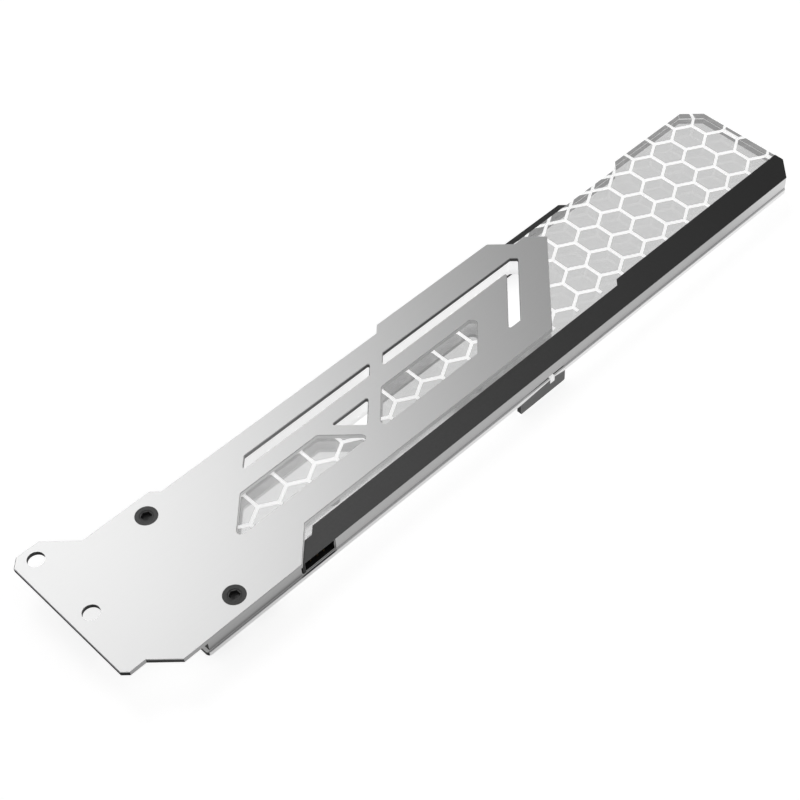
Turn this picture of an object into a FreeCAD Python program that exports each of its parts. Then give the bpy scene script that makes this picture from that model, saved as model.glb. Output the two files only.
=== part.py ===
import FreeCAD, Part
import math
import os

# Graphics card support bracket, in millimetres.
# It lies on its back. X runs from the slot end to the far end, Y across the
# bracket (up, once it is mounted) and Z out of its front. The origin is midway
# between the two slot screw holes, on the back face of the face plate.

# Slot screw holes of a computer case
SLOT_PITCH = 20.32
SLOT_HOLE_D = 4.2

# Layers, from the front to the back
PLATE_T = 1.2
MASK_T = 0.2
GUIDE_T = 3.5
REFLECTOR_T = 0.2
AIR_GAP = 0.05
BASE_T = 1.2
BAR_T = 1.2

# Overall: the lower edge, and the far end
LOWER_Y = -34.1
GUIDE_RIGHT = 224.2

# Face plate: edge levels along X, and where each level ends in a 45 degree jog
PLATE_LEFT = -5.0
PLATE_CHAMFER = 0.15
EAR_TOP = 13.9
EAR_CUT = 2.2
EAR_END = 3.4
SHOULDER_Y = 6.9
SHOULDER_END = 29.7
UPPER_Y = 4.95
CREST_START = 100.5
CREST_Y = 7.0
CREST_END = 142.5
NOSE_Y = 1.8
TIP_Y = -2.45
FOOT_Y = LOWER_Y + 5.8
FOOT_CUT = 1.5
FOOT_END = 0.8
LOWER_END = 40.55
BAND_Y = LOWER_Y + 8.15

# Openings of the face plate. Every slanted edge lies on a 45 degree line,
# named by where that line would cross the X axis.
DIAGONAL_A = 52.85
DIAGONAL_B = 93.55
RIB = 4.5
DIAGONAL_D = 131.45
WIDE_RIB = 11.25
LEG_WIDTH = 4.3
SLOT_TOP = -1.0
SLOT_BOTTOM = -4.0
WINDOW_TOP = -8.85
LOWER_RIB = 7.9
WINDOW_A_END = 67.9
SLOT_NOSE = 1.5
WINDOW_NOSE = 1.4
WINDOW_R = 1.0
SLOT_R = 0.4
BACK_OPENING_STEP = 0.2
SLIP = 0.1

# Light guide and its honeycomb
GUIDE_LEFT = 33.0
GUIDE_Y = 2.75
GUIDE_END_Y = 4.75
GUIDE_JOG_X = GUIDE_RIGHT - 34.85
GUIDE_UPPER_CUT = 4.85
GUIDE_LOWER_CUT = 5.2
EDGE_INSET = 0.55
HEX_PITCH = 8.92
HEX_X = GUIDE_RIGHT - 9.15
HEX_Y = -2.3
GROOVE_W = 0.75
GROOVE_DEPTH = 0.2
FIELD_MARGIN = 0.9

# Light strip in its channel under the light guide
CHANNEL_END = GUIDE_RIGHT - 21.0
CHANNEL_W = 5.0
CHANNEL_WALL = 1.0
BOARD_T = 0.4
BOARD_W = 4.2
TAPE_T = 0.2
TONGUE_W = 1.2
TONGUE_GAP = 0.5
LED_SIZE = (4.0, 1.6, 1.6)
LED_CLEARANCE = 0.5
LED_PITCH = 12.0
LED_FIRST_X = 61.0
CAPACITOR_SIZE = (1.6, 0.8, 0.8)
CAPACITOR_OFFSET = 5.0

# Black mask over the light strip
MASK_Y = LOWER_Y + 6.95
MASK_FAR_Y = LOWER_Y + 8.55
MASK_JOG_X = 155.8
MASK_STEP_X = 48.0

# Socket for the lighting lead
SOCKET_END = 50.95
SOCKET_DEPTH = 2.6
SOCKET_WALL = 0.3
MOUTH_LEFT_WALL = 0.9
MOUTH_DEPTH = 2.1
MOUTH_RIM = 0.15
PIN_W = 0.5
PIN_PITCH = 2.0
PIN_COUNT = 3
PIN_INSET = 1.1
PIN_TAIL = 1.0

# Spacer block
SPACER_LEFT = 13.3
SPACER_Y = 3.5
SPACER_GAP = 0.2

# Base plate and its folded shelf
BASE_OVERHANG = 0.8
BASE_CORNER_R = 1.0
SHELF_LEFT = 112.2
SHELF_WIDTH = 16.2
SHELF_DROP = 4.8
SHELF_BEND_R = 0.4
SHELF_CORNER_R = 0.5
NOTCH_LEFT = 10.7
NOTCH_W = 1.6
NOTCH_H = 1.9
NOTCH_DEPTH = 0.7
PAD_T = 1.5
PAD_MARGIN = 1.0
PAD_GAP = 0.15

# Stiffener bar
BAR_LEFT = 14.0
BAR_LEG_W = 20.0
BAR_Y = 7.8
BAR_W = 8.4
BAR_END = 173.2
BAR_END_CUT = 1.6
BAR_BOTTOM = LOWER_Y + 1.1
BAR_CORNER = 6.0

# Fasteners
SCREW_X = 24.8
SCREW_YS = (1.8, LOWER_Y + 4.8)
SCREW_D = 3.0
SCREW_HEAD_D = 5.5
SCREW_RIM = 0.2
SCREW_L = 10.0
SCREW_HEX = 2.4
SCREW_HEX_DEPTH = 1.1
HOLE_PLAY = 0.3
NUT_D = 6.2
NUT_H = 1.5
NUT_SHANK_D = 4.2
STUD_D = 2.5
STUD_HEAD_D = 4.2
STUD_HEAD_T = 0.8
STUD_END = 0.5
STUD_XS = (60.0, 108.0)
NOSE_STUD_Y = -7.5
STUD_NUT_AF = 5.0
STUD_NUT_H = 2.0
WASHER_D = 6.0
WASHER_T = 0.5
RIVET_XS = (90.0, 158.0)
RIVET_D = 2.0
RIVET_HEAD_D = 3.0
RIVET_HEAD_T = 0.6
GUIDE_SCREW_XS = (GUIDE_RIGHT - 16.5, GUIDE_RIGHT - 9.5)
GUIDE_SCREW_D = 2.0
GUIDE_SCREW_HEAD_D = 3.8
GUIDE_SCREW_BITE = 2.2
BORE_DEPTH_PLAY = 0.3

# Levels and places worked out from the sizes above
GUIDE_TOP = -AIR_GAP
GUIDE_BOTTOM = GUIDE_TOP - GUIDE_T
REFLECTOR_TOP = GUIDE_BOTTOM - AIR_GAP
REFLECTOR_BOTTOM = REFLECTOR_TOP - REFLECTOR_T
BASE_BOTTOM = REFLECTOR_BOTTOM - BASE_T
BAR_BACK = BASE_BOTTOM - BAR_T
BOARD_TOP = REFLECTOR_TOP + TAPE_T + BOARD_T
CHANNEL_TOP = BOARD_TOP + LED_SIZE[2] + LED_CLEARANCE
GUIDE_LOWER_Y = LOWER_Y + EDGE_INSET
WINDOW_BOTTOM = BAND_Y + LOWER_RIB
DIAGONAL_C = DIAGONAL_B + RIB
DIAGONAL_E = DIAGONAL_D + WIDE_RIB
DIAGONAL_F = DIAGONAL_E + LEG_WIDTH
DIAGONAL_G = DIAGONAL_F + WIDE_RIB
CHANNEL_LOWER_Y = GUIDE_LOWER_Y + CHANNEL_WALL
CHANNEL_UPPER_Y = CHANNEL_LOWER_Y + CHANNEL_W
SOCKET_LEFT = LOWER_END + 2 * SPACER_GAP
SOCKET_BACK_Y = GUIDE_LOWER_Y + SOCKET_DEPTH
TONGUE_Y = SOCKET_BACK_Y + TONGUE_GAP + TONGUE_W
POCKET_Y = TONGUE_Y + SPACER_GAP
MASK_STEP_Y = POCKET_Y + SLIP
RIVET_Y = (GUIDE_Y + SLOT_TOP + BACK_OPENING_STEP) / 2
STUD_PLACES = [(x, (BAND_Y + WINDOW_BOTTOM) / 2) for x in STUD_XS]
STUD_PLACES.append(((DIAGONAL_F + DIAGONAL_G) / 2 + NOSE_STUD_Y, NOSE_STUD_Y))


def vec(x, y, z=0.0):
    return FreeCAD.Vector(x, y, z)


def corner_arc(before, corner, after, radius):
    """Start, middle and end of the arc that rounds one corner."""
    into = (corner - before).normalize()
    out = (after - corner).normalize()
    half_turn = into.getAngle(out) / 2
    setback = radius * math.tan(half_turn)
    inward = (out - into).normalize()
    middle = corner + inward * (radius / math.cos(half_turn) - radius)
    return corner - into * setback, middle, corner + out * setback


def rounded_face(points, radius):
    """Flat face of an outline whose corners all have one radius, or none."""
    corners = [vec(*p) for p in points]
    if radius == 0:
        return Part.Face(Part.makePolygon(corners + corners[:1]))
    arcs = []
    for i, corner in enumerate(corners):
        after = corners[(i + 1) % len(corners)]
        arcs.append(corner_arc(corners[i - 1], corner, after, radius))
    edges = []
    for i, (start, middle, end) in enumerate(arcs):
        next_start = arcs[(i + 1) % len(arcs)][0]
        edges.append(Part.Arc(start, middle, end).toShape())
        edges.append(Part.LineSegment(end, next_start).toShape())
    return Part.Face(Part.Wire(edges))


def slab(face, bottom, top):
    """Solid of a flat face between two heights."""
    lifted = face.translated(vec(0, 0, bottom))
    return lifted.extrude(vec(0, 0, top - bottom))


def prism(points, bottom, top, radius=0):
    return slab(rounded_face(points, radius), bottom, top)


def box(x0, x1, y0, y1, z0, z1):
    return Part.makeBox(x1 - x0, y1 - y0, z1 - z0, vec(x0, y0, z0))


def rod(x, y, bottom, top, diameter):
    return Part.makeCylinder(diameter / 2, top - bottom, vec(x, y, bottom))


def hexagon(x, y, across_flats):
    """Corners of a hexagon with two of its sides along Y."""
    reach = across_flats / math.sqrt(3)
    angles = [math.radians(30 + 60 * i) for i in range(6)]
    return [(x + reach * math.cos(a), y + reach * math.sin(a)) for a in angles]


def stepped_edge(level, jogs):
    """Corners of an edge along X whose level changes in 45 degree jogs."""
    points = []
    for x, new_level in jogs:
        points.append((x, level))
        points.append((x + abs(new_level - level), new_level))
        level = new_level
    return points


def on_diagonal(diagonal, y):
    """Point of a rising 45 degree line at a height."""
    return (diagonal + y, y)


def save(name, solids):
    shape = solids[0] if len(solids) == 1 else Part.makeCompound(solids)
    shape.exportStep("parts/" + name + ".step")


def plate_outline():
    upper = stepped_edge(EAR_TOP - EAR_CUT, [
        (PLATE_LEFT, EAR_TOP),
        (EAR_END, SHOULDER_Y),
        (SHOULDER_END, UPPER_Y),
        (CREST_START, CREST_Y),
        (CREST_END, NOSE_Y),
    ])
    nose = [
        (DIAGONAL_G + TIP_Y - (NOSE_Y - TIP_Y), NOSE_Y),
        on_diagonal(DIAGONAL_G, TIP_Y),
        on_diagonal(DIAGONAL_G, BAND_Y),
    ]
    lower = stepped_edge(FOOT_Y + FOOT_CUT, [
        (PLATE_LEFT, FOOT_Y),
        (FOOT_END, LOWER_Y),
        (LOWER_END, BAND_Y),
    ])
    return upper + nose + lower[::-1]


def slot_outlines():
    """The two slots and the triangle, which go right through the bracket."""
    first = [
        on_diagonal(DIAGONAL_A, SLOT_BOTTOM),
        on_diagonal(DIAGONAL_B, SLOT_BOTTOM),
        on_diagonal(DIAGONAL_B, SLOT_TOP),
        on_diagonal(DIAGONAL_A, SLOT_TOP),
    ]
    nose_y = SLOT_TOP - SLOT_NOSE
    second = [
        on_diagonal(DIAGONAL_C, SLOT_BOTTOM),
        on_diagonal(DIAGONAL_E, SLOT_BOTTOM),
        on_diagonal(DIAGONAL_E, WINDOW_BOTTOM),
        on_diagonal(DIAGONAL_F, WINDOW_BOTTOM),
        on_diagonal(DIAGONAL_F, nose_y),
        (DIAGONAL_F + nose_y - SLOT_NOSE, SLOT_TOP),
        on_diagonal(DIAGONAL_C, SLOT_TOP),
    ]
    left = WINDOW_A_END + RIB
    right = DIAGONAL_B + WINDOW_TOP
    middle = (left + right) / 2
    triangle = [
        (left, WINDOW_TOP),
        (middle, WINDOW_TOP - (middle - left)),
        (right, WINDOW_TOP),
    ]
    return [first, second, triangle]


def window_outlines():
    """The two windows that show the light guide."""
    height = WINDOW_TOP - WINDOW_BOTTOM
    window_a = [
        on_diagonal(DIAGONAL_A, WINDOW_BOTTOM),
        (WINDOW_A_END + height, WINDOW_BOTTOM),
        (WINDOW_A_END, WINDOW_TOP),
        on_diagonal(DIAGONAL_A, WINDOW_TOP),
    ]
    nose_y = WINDOW_TOP - WINDOW_NOSE
    window_b = [
        on_diagonal(DIAGONAL_C, WINDOW_BOTTOM),
        on_diagonal(DIAGONAL_D, WINDOW_BOTTOM),
        on_diagonal(DIAGONAL_D, nose_y),
        (DIAGONAL_D + nose_y - WINDOW_NOSE, WINDOW_TOP),
        on_diagonal(DIAGONAL_C, WINDOW_TOP),
    ]
    return [window_a, window_b]


def through_slots(bottom, top, step=0.0):
    """Cutters for the slots, a little larger in the layers behind the plate."""
    cutters = []
    for outline in slot_outlines():
        face = rounded_face(outline, SLOT_R)
        if step:
            face = Part.Face(face.OuterWire.makeOffset2D(step))
        cutters.append(slab(face, bottom, top))
    return cutters


def stud_cutters(bottom, top):
    hole = STUD_D + HOLE_PLAY
    return [rod(x, y, bottom, top, hole) for x, y in STUD_PLACES]


def screw_cutters(bottom, top):
    hole = SCREW_D + HOLE_PLAY
    return [rod(SCREW_X, y, bottom, top, hole) for y in SCREW_YS]


def countersink(y):
    """Space of a countersunk head, flush with the front of the face plate.

    Where the plate is thinner than the head, the cone goes on into the spacer.
    """
    radius = SCREW_HEAD_D / 2
    rim_bottom = PLATE_T - SCREW_RIM
    tip = rim_bottom - (radius - SCREW_D / 2)
    seat = max(0, tip)
    seat_radius = radius - (rim_bottom - seat)
    parts = [Part.makeCone(seat_radius, radius, rim_bottom - seat, vec(SCREW_X, y, seat))]
    if tip < 0:
        parts.append(Part.makeCone(SCREW_D / 2, seat_radius, -tip, vec(SCREW_X, y, tip)))
    return rod(SCREW_X, y, rim_bottom, PLATE_T, SCREW_HEAD_D).fuse(parts)


def edges_at(solid, middles):
    """Straight edges of a solid, found by where their middles are."""
    return [e for e in solid.Edges if any(e.CenterOfMass.isEqual(m, SLIP) for m in middles)]


def chamfered_front(solid, top, size):
    """Break the straight and rounded edges round the front, not the holes."""
    edges = [e for e in solid.Edges if e.BoundBox.ZMin > top - SLIP and not e.isClosed()]
    return solid.makeChamfer(size, edges)


def face_plate():
    plate = prism(plate_outline(), 0, PLATE_T)
    cutters = through_slots(0, PLATE_T)
    cutters += [prism(w, 0, PLATE_T, WINDOW_R) for w in window_outlines()]
    plate = chamfered_front(plate.cut(cutters), PLATE_T, PLATE_CHAMFER)
    cutters = [rod(0, s * SLOT_PITCH / 2, 0, PLATE_T, SLOT_HOLE_D) for s in (-1, 1)]
    cutters += [rod(SCREW_X, y, 0, PLATE_T, SCREW_D) for y in SCREW_YS]
    cutters += [countersink(y) for y in SCREW_YS]
    cutters += [rod(x, y, 0, STUD_HEAD_T, STUD_HEAD_D) for x, y in STUD_PLACES]
    return plate.cut(cutters)


def plate_stud(x, y):
    tip = BASE_BOTTOM - WASHER_T - STUD_NUT_H - STUD_END
    head = rod(x, y, 0, STUD_HEAD_T, STUD_HEAD_D)
    return head.fuse(rod(x, y, tip, 0, STUD_D)).removeSplitter()


def plate_screw(y):
    shank = rod(SCREW_X, y, PLATE_T - SCREW_L, PLATE_T - SCREW_RIM, SCREW_D)
    screw = shank.fuse(countersink(y))
    drive = prism(hexagon(SCREW_X, y, SCREW_HEX), PLATE_T - SCREW_HEX_DEPTH, PLATE_T)
    return screw.cut(drive)


def guide_outline(inset=0.0):
    """Outline of the clear plate, with its corner left out for the socket."""
    lower_y = GUIDE_LOWER_Y + inset
    right = GUIDE_RIGHT - inset
    pocket_x = SOCKET_END + SLIP
    upper = stepped_edge(GUIDE_Y - inset, [
        (GUIDE_JOG_X, GUIDE_END_Y - inset),
        (right - GUIDE_UPPER_CUT, GUIDE_END_Y - inset - GUIDE_UPPER_CUT),
    ])
    return [
        (GUIDE_LEFT, POCKET_Y),
        (pocket_x, POCKET_Y),
        (pocket_x, lower_y),
        (right - GUIDE_LOWER_CUT, lower_y),
        (right, lower_y + GUIDE_LOWER_CUT),
    ] + upper[::-1] + [(GUIDE_LEFT, GUIDE_Y - inset)]


def honeycomb_grooves():
    """Engraved network: the field of the back face, less its hexagon islands."""
    field_bottom = MASK_FAR_Y + FIELD_MARGIN
    field = rounded_face(guide_outline(), 0)
    below = box(GUIDE_LEFT, GUIDE_RIGHT, GUIDE_LOWER_Y, field_bottom, -1, 1)
    row_pitch = HEX_PITCH * math.sqrt(3) / 2
    first_row = math.floor((field_bottom - HEX_Y) / row_pitch)
    last_row = math.ceil((GUIDE_END_Y - HEX_Y) / row_pitch)
    first_column = math.floor((GUIDE_LEFT - HEX_X) / HEX_PITCH) - 1
    last_column = math.ceil((GUIDE_RIGHT - HEX_X) / HEX_PITCH)
    islands = []
    for row in range(first_row, last_row + 1):
        for column in range(first_column, last_column + 1):
            x = HEX_X + (column + (row % 2) / 2) * HEX_PITCH
            y = HEX_Y + row * row_pitch
            islands.append(rounded_face(hexagon(x, y, HEX_PITCH - GROOVE_W), 0))
    lines = field.cut(below).cut(islands)
    return slab(lines, GUIDE_BOTTOM, GUIDE_BOTTOM + GROOVE_DEPTH)


def light_guide():
    guide = prism(guide_outline(), GUIDE_BOTTOM, GUIDE_TOP)
    channel = box(
        SOCKET_END, CHANNEL_END, CHANNEL_LOWER_Y, CHANNEL_UPPER_Y,
        GUIDE_BOTTOM, CHANNEL_TOP,
    )
    bore_top = GUIDE_BOTTOM + GUIDE_SCREW_BITE + BORE_DEPTH_PLAY
    bores = [
        rod(x, guide_screw_y(), GUIDE_BOTTOM, bore_top, GUIDE_SCREW_D)
        for x in GUIDE_SCREW_XS
    ]
    cutters = through_slots(GUIDE_BOTTOM, GUIDE_TOP, BACK_OPENING_STEP)
    cutters += stud_cutters(GUIDE_BOTTOM, GUIDE_TOP)
    return guide.cut(honeycomb_grooves()).cut(cutters + [channel] + bores)


def guide_screw_y():
    return (GUIDE_LOWER_Y + CHANNEL_UPPER_Y) / 2


def guide_screw(x):
    """Countersunk screw from the back, flush with the base plate."""
    y = guide_screw_y()
    shank = rod(x, y, BASE_BOTTOM, GUIDE_BOTTOM + GUIDE_SCREW_BITE, GUIDE_SCREW_D)
    return shank.fuse(guide_screw_head(x, y)).removeSplitter()


def guide_screw_head(x, y):
    depth = (GUIDE_SCREW_HEAD_D - GUIDE_SCREW_D) / 2
    return Part.makeCone(GUIDE_SCREW_HEAD_D / 2, GUIDE_SCREW_D / 2, depth, vec(x, y, BASE_BOTTOM))


def led_mask():
    left_diagonal = LOWER_END - LOWER_Y + SLIP
    right = GUIDE_RIGHT
    points = [
        on_diagonal(left_diagonal, GUIDE_LOWER_Y),
        (right - GUIDE_LOWER_CUT, GUIDE_LOWER_Y),
        (right, GUIDE_LOWER_Y + GUIDE_LOWER_CUT),
        (right, MASK_FAR_Y),
    ]
    upper = stepped_edge(MASK_STEP_Y, [(MASK_STEP_X, MASK_Y), (MASK_JOG_X, MASK_FAR_Y)])
    points += upper[::-1]
    points.append(on_diagonal(left_diagonal, MASK_STEP_Y))
    return prism(points, GUIDE_TOP, GUIDE_TOP + MASK_T)


def spacer_block():
    step = SHOULDER_Y - UPPER_Y
    outline = [
        (SPACER_LEFT, GUIDE_LOWER_Y),
        (LOWER_END, GUIDE_LOWER_Y),
        (LOWER_END, POCKET_Y - SPACER_GAP),
        (GUIDE_LEFT - SPACER_GAP, POCKET_Y - SPACER_GAP),
        (GUIDE_LEFT - SPACER_GAP, SPACER_Y),
        (SHOULDER_END - BASE_OVERHANG + step, SPACER_Y),
        (SHOULDER_END - BASE_OVERHANG, SPACER_Y + step),
        (SPACER_LEFT, SPACER_Y + step),
    ]
    block = prism(outline, REFLECTOR_BOTTOM, 0)
    heads = [countersink(y) for y in SCREW_YS]
    return block.cut(screw_cutters(REFLECTOR_BOTTOM, 0) + heads)


def reflector_sheet():
    """Bright film behind the light guide, set back a little from its edges."""
    outline = [
        (GUIDE_LEFT, POCKET_Y),
        (LOWER_END + SPACER_GAP, POCKET_Y),
        (LOWER_END + SPACER_GAP, GUIDE_LOWER_Y + BASE_OVERHANG / 2),
    ] + guide_outline(BASE_OVERHANG / 2)[3:]
    sheet = prism(outline, REFLECTOR_BOTTOM, REFLECTOR_TOP)
    cutters = through_slots(REFLECTOR_BOTTOM, REFLECTOR_TOP, BACK_OPENING_STEP)
    cutters += stud_cutters(REFLECTOR_BOTTOM, REFLECTOR_TOP)
    for x in GUIDE_SCREW_XS:
        cutters.append(rod(x, guide_screw_y(), REFLECTOR_BOTTOM, REFLECTOR_TOP, GUIDE_SCREW_D))
    return sheet.cut(cutters)


def board_outline(inset=0.0):
    """Light strip with a narrow tongue behind the socket."""
    upper_y = CHANNEL_UPPER_Y - (CHANNEL_W - BOARD_W) / 2
    lower_y = upper_y - BOARD_W
    left = SOCKET_LEFT
    body = SOCKET_END + SPACER_GAP
    right = CHANNEL_END - SPACER_GAP
    return [
        (left + inset, TONGUE_Y - TONGUE_W + inset),
        (body + inset, TONGUE_Y - TONGUE_W + inset),
        (body + inset, lower_y + inset),
        (right - inset, lower_y + inset),
        (right - inset, upper_y - inset),
        (body + inset, upper_y - inset),
        (body + inset, TONGUE_Y - inset),
        (left + inset, TONGUE_Y - inset),
    ]


def led_board():
    return prism(board_outline(), REFLECTOR_TOP + TAPE_T, BOARD_TOP)


def led_tape():
    return prism(board_outline(SLIP), REFLECTOR_TOP, REFLECTOR_TOP + TAPE_T)


def on_board(x, size, upper_gap):
    """Small part on the light strip, a set distance from its upper edge."""
    length, width, height = size
    upper_y = CHANNEL_UPPER_Y - (CHANNEL_W - BOARD_W) / 2 - upper_gap
    x0 = x - length / 2
    return box(x0, x0 + length, upper_y - width, upper_y, BOARD_TOP, BOARD_TOP + height)


def led_xs():
    """As many places as the channel is long, each with room for its capacitor."""
    room = CHANNEL_END - LED_FIRST_X - CAPACITOR_OFFSET - CAPACITOR_SIZE[0]
    return [LED_FIRST_X + i * LED_PITCH for i in range(int(room // LED_PITCH) + 1)]


def socket_housing():
    """Thin-walled mouth in the side wall, its front edges broken."""
    x0 = SOCKET_LEFT + MOUTH_LEFT_WALL
    x1 = SOCKET_END - SOCKET_WALL
    y0 = GUIDE_LOWER_Y
    z0 = REFLECTOR_TOP + SOCKET_WALL
    z1 = GUIDE_TOP - SOCKET_WALL
    body = box(SOCKET_LEFT, SOCKET_END, y0, SOCKET_BACK_Y, REFLECTOR_TOP, GUIDE_TOP)
    mouth = box(x0, x1, y0, y0 + MOUTH_DEPTH, z0, z1)
    x, z = (x0 + x1) / 2, (z0 + z1) / 2
    rim = [vec(x0, y0, z), vec(x1, y0, z), vec(x, y0, z0), vec(x, y0, z1)]
    body = body.cut(mouth)
    body = body.makeChamfer(MOUTH_RIM, edges_at(body, rim))
    return body.cut([pin_box(x, y0, SOCKET_BACK_Y) for x in pin_xs()])


def pin_xs():
    middle = (SOCKET_LEFT + MOUTH_LEFT_WALL + SOCKET_END - SOCKET_WALL) / 2
    return [middle + (i - (PIN_COUNT - 1) / 2) * PIN_PITCH for i in range(PIN_COUNT)]


def pin_box(x, y0, y1):
    return box(x - PIN_W / 2, x + PIN_W / 2, y0, y1, BOARD_TOP, BOARD_TOP + PIN_W)


def socket_pin(x):
    """Contact that runs from the mouth to its pad on the tongue."""
    return pin_box(x, GUIDE_LOWER_Y + PIN_INSET, SOCKET_BACK_Y + PIN_TAIL)


def base_outline():
    lower_y = LOWER_Y
    right = GUIDE_RIGHT
    lower_cut = GUIDE_LOWER_CUT + EDGE_INSET
    upper = stepped_edge(SHOULDER_Y, [
        (SHOULDER_END, GUIDE_Y),
        (GUIDE_JOG_X, GUIDE_END_Y),
        (right - GUIDE_UPPER_CUT, GUIDE_END_Y - GUIDE_UPPER_CUT),
    ])
    return [
        (SPACER_LEFT - BASE_OVERHANG, lower_y),
        (right - lower_cut, lower_y),
        (right, lower_y + lower_cut),
    ] + upper[::-1] + [(SPACER_LEFT - BASE_OVERHANG, SHOULDER_Y)]


def folded_shelf():
    """Tab folded back from the lower edge, in profile with its bend."""
    top = REFLECTOR_BOTTOM
    end = top - SHELF_DROP
    outer = LOWER_Y
    inner = outer + BASE_T
    r = SHELF_BEND_R
    slope = r * (1 - math.sqrt(0.5))
    corner = Part.Arc(
        vec(SHELF_LEFT, outer + r, top),
        vec(SHELF_LEFT, outer + slope, top - slope),
        vec(SHELF_LEFT, outer, top - r),
    )
    points = [
        vec(SHELF_LEFT, outer, top - r),
        vec(SHELF_LEFT, outer, end),
        vec(SHELF_LEFT, inner, end),
        vec(SHELF_LEFT, inner, BASE_BOTTOM),
        vec(SHELF_LEFT, inner + BASE_T, BASE_BOTTOM),
        vec(SHELF_LEFT, inner + BASE_T, top),
        vec(SHELF_LEFT, outer + r, top),
    ]
    wire = Part.Wire([corner.toShape()] + Part.makePolygon(points).Edges)
    shelf = Part.Face(wire).extrude(vec(SHELF_WIDTH, 0, 0))
    corners = [vec(x, (outer + inner) / 2, end) for x in (SHELF_LEFT, SHELF_LEFT + SHELF_WIDTH)]
    shelf = shelf.makeFillet(SHELF_CORNER_R, edges_at(shelf, corners))
    notch_x = SHELF_LEFT + NOTCH_LEFT
    notch = box(notch_x, notch_x + NOTCH_W, outer, outer + NOTCH_DEPTH, top - NOTCH_H, top)
    return shelf.cut(notch)


def base_plate():
    top = REFLECTOR_BOTTOM
    sheet = prism(base_outline(), BASE_BOTTOM, top)
    corner = vec(SPACER_LEFT - BASE_OVERHANG, LOWER_Y, (BASE_BOTTOM + top) / 2)
    sheet = sheet.makeFillet(BASE_CORNER_R, edges_at(sheet, [corner]))
    fold = box(SHELF_LEFT, SHELF_LEFT + SHELF_WIDTH, LOWER_Y, LOWER_Y + BASE_T, BASE_BOTTOM, top)
    cutters = [fold] + through_slots(BASE_BOTTOM, top, BACK_OPENING_STEP)
    cutters += stud_cutters(BASE_BOTTOM, top) + screw_cutters(BASE_BOTTOM, top)
    for x in GUIDE_SCREW_XS:
        cutters.append(rod(x, guide_screw_y(), BASE_BOTTOM, top, GUIDE_SCREW_D))
        cutters.append(guide_screw_head(x, guide_screw_y()))
    cutters += [rivet(x) for x in RIVET_XS]
    return sheet.cut(cutters).fuse(folded_shelf()).removeSplitter()


def card_pad():
    x0 = SHELF_LEFT + PAD_MARGIN
    x1 = SHELF_LEFT + SHELF_WIDTH - PAD_MARGIN
    inner = LOWER_Y + BASE_T
    bottom = REFLECTOR_BOTTOM - SHELF_DROP + PAD_GAP
    return box(x0, x1, inner, inner + PAD_T, bottom, BASE_BOTTOM - PAD_GAP)


def stiffener_bar():
    """Black back bar, L shaped, whose end shows behind the upper edge."""
    lower_y = BAR_Y - BAR_W
    leg_x = BAR_LEFT + BAR_LEG_W
    outline = [
        (BAR_LEFT, BAR_BOTTOM),
        (leg_x, BAR_BOTTOM),
        (leg_x, lower_y - BAR_CORNER),
        (leg_x + BAR_CORNER, lower_y),
        (BAR_END, lower_y),
        (BAR_END, BAR_Y - BAR_END_CUT),
        (BAR_END - BAR_END_CUT, BAR_Y),
        (BAR_LEFT, BAR_Y),
    ]
    bar = prism(outline, BAR_BACK, BASE_BOTTOM)
    shanks = [rod(SCREW_X, y, BAR_BACK, BASE_BOTTOM, NUT_SHANK_D) for y in SCREW_YS]
    return bar.cut(shanks + [rivet(x) for x in RIVET_XS])


def rivet(x):
    """Countersunk at the front of the base plate, headed behind the bar."""
    top = REFLECTOR_BOTTOM
    depth = (RIVET_HEAD_D - RIVET_D) / 2
    head_bottom = BAR_BACK - RIVET_HEAD_T
    shank = rod(x, RIVET_Y, head_bottom, top, RIVET_D)
    front = Part.makeCone(RIVET_D / 2, RIVET_HEAD_D / 2, depth, vec(x, RIVET_Y, top - depth))
    back = rod(x, RIVET_Y, head_bottom, BAR_BACK, RIVET_HEAD_D)
    return shank.fuse([front, back]).removeSplitter()


def screw_nut(y):
    """Pressed nut: its shank sits in the bar, its body behind it."""
    body = rod(SCREW_X, y, BAR_BACK - NUT_H, BAR_BACK, NUT_D)
    shank = rod(SCREW_X, y, BAR_BACK, BASE_BOTTOM, NUT_SHANK_D)
    bore = rod(SCREW_X, y, BAR_BACK - NUT_H, BASE_BOTTOM, SCREW_D)
    return body.fuse(shank).removeSplitter().cut(bore)


def stud_washer(x, y):
    top = BASE_BOTTOM
    disc = rod(x, y, top - WASHER_T, top, WASHER_D)
    return disc.cut(rod(x, y, top - WASHER_T, top, STUD_D + HOLE_PLAY))


def stud_nut(x, y):
    top = BASE_BOTTOM - WASHER_T
    nut = prism(hexagon(x, y, STUD_NUT_AF), top - STUD_NUT_H, top)
    return nut.cut(rod(x, y, top - STUD_NUT_H, top, STUD_D))


os.makedirs("parts", exist_ok=True)
save("face_plate", [face_plate()])
save("plate_studs", [plate_stud(x, y) for x, y in STUD_PLACES])
save("plate_screws", [plate_screw(y) for y in SCREW_YS])
save("light_guide", [light_guide()])
save("led_mask", [led_mask()])
save("spacer_block", [spacer_block()])
save("reflector_sheet", [reflector_sheet()])
save("led_board", [led_board()])
save("led_tape", [led_tape()])
save("leds", [on_board(x, LED_SIZE, SLIP) for x in led_xs()])
save("led_capacitors", [
    on_board(x + CAPACITOR_OFFSET, CAPACITOR_SIZE, BOARD_W / 2) for x in led_xs()
])
save("socket_housing", [socket_housing()])
save("socket_pins", [socket_pin(x) for x in pin_xs()])
save("base_plate", [base_plate()])
save("card_pad", [card_pad()])
save("stiffener_bar", [stiffener_bar()])
save("bar_rivets", [rivet(x) for x in RIVET_XS])
save("screw_nuts", [screw_nut(y) for y in SCREW_YS])
save("stud_washers", [stud_washer(x, y) for x, y in STUD_PLACES])
save("stud_nuts", [stud_nut(x, y) for x, y in STUD_PLACES])
save("guide_screws", [guide_screw(x) for x in GUIDE_SCREW_XS])
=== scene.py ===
import math

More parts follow.
